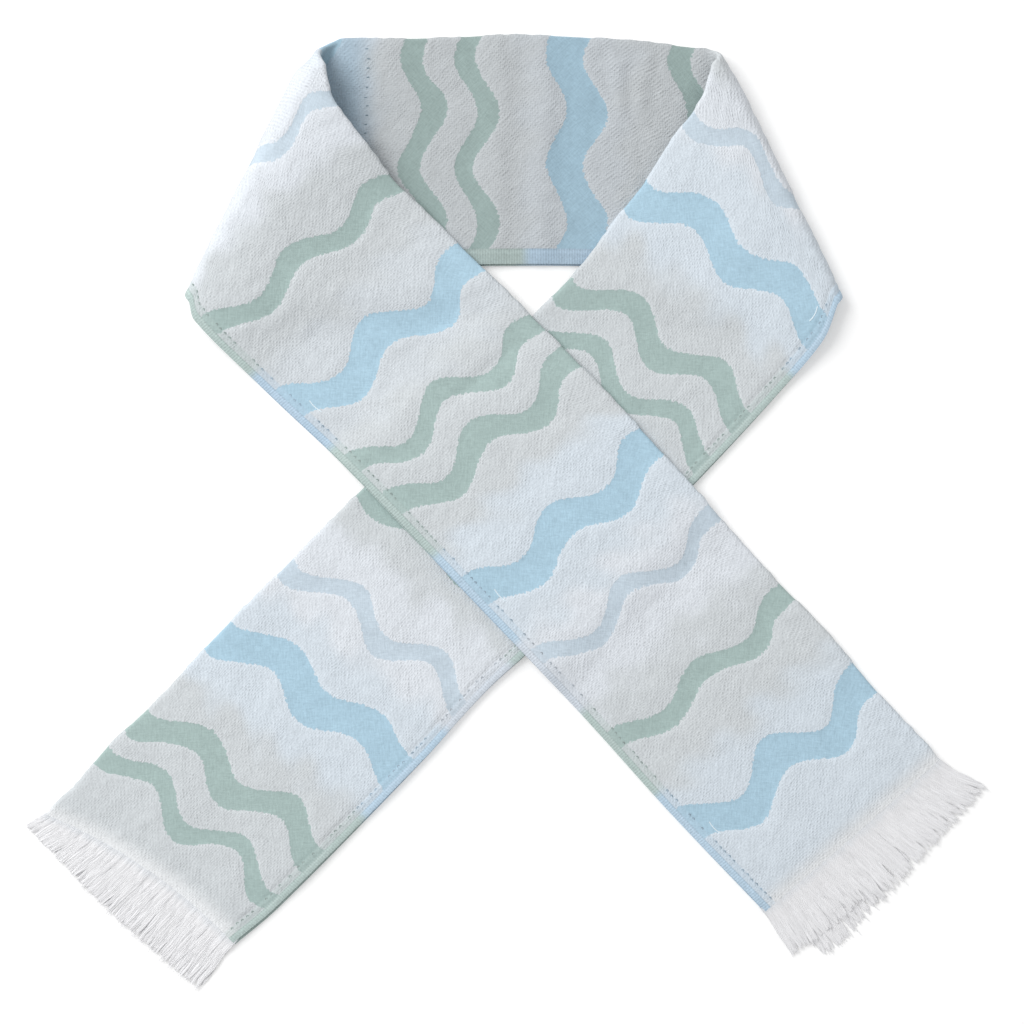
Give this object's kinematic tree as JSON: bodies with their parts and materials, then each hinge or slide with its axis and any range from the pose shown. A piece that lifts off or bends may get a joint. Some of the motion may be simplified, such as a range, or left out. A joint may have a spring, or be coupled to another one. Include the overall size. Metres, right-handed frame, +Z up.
{
  "type": "cooling towel",
  "caption": "Long cooling towel folded in half lengthwise, laid flat as a loop with crossed tails and a short fringe at both ends.",
  "frame": {"origin": "on the surface that the towel lies on, under the middle of its box", "axes": "+Z up from the surface; +Y towards the neck stretch, so the crossed tails run to -Y; +X to the right seen from above"},
  "size_m": [0.4029, 0.3997, 0.0194],
  "materials": {
    "cloth": "matt light jacquard weave, white crepe ground with blue and sage green wavy stripes",
    "fringe": "loose white warp yarns"
  },
  "bodies": {
    "root": {"towel_cloth": "cloth", "over_tail_fringe_lower": "fringe", "over_tail_fringe_upper": "fringe", "under_tail_fringe_lower": "fringe", "under_tail_fringe_upper": "fringe"}
  },
  "joints": []
}
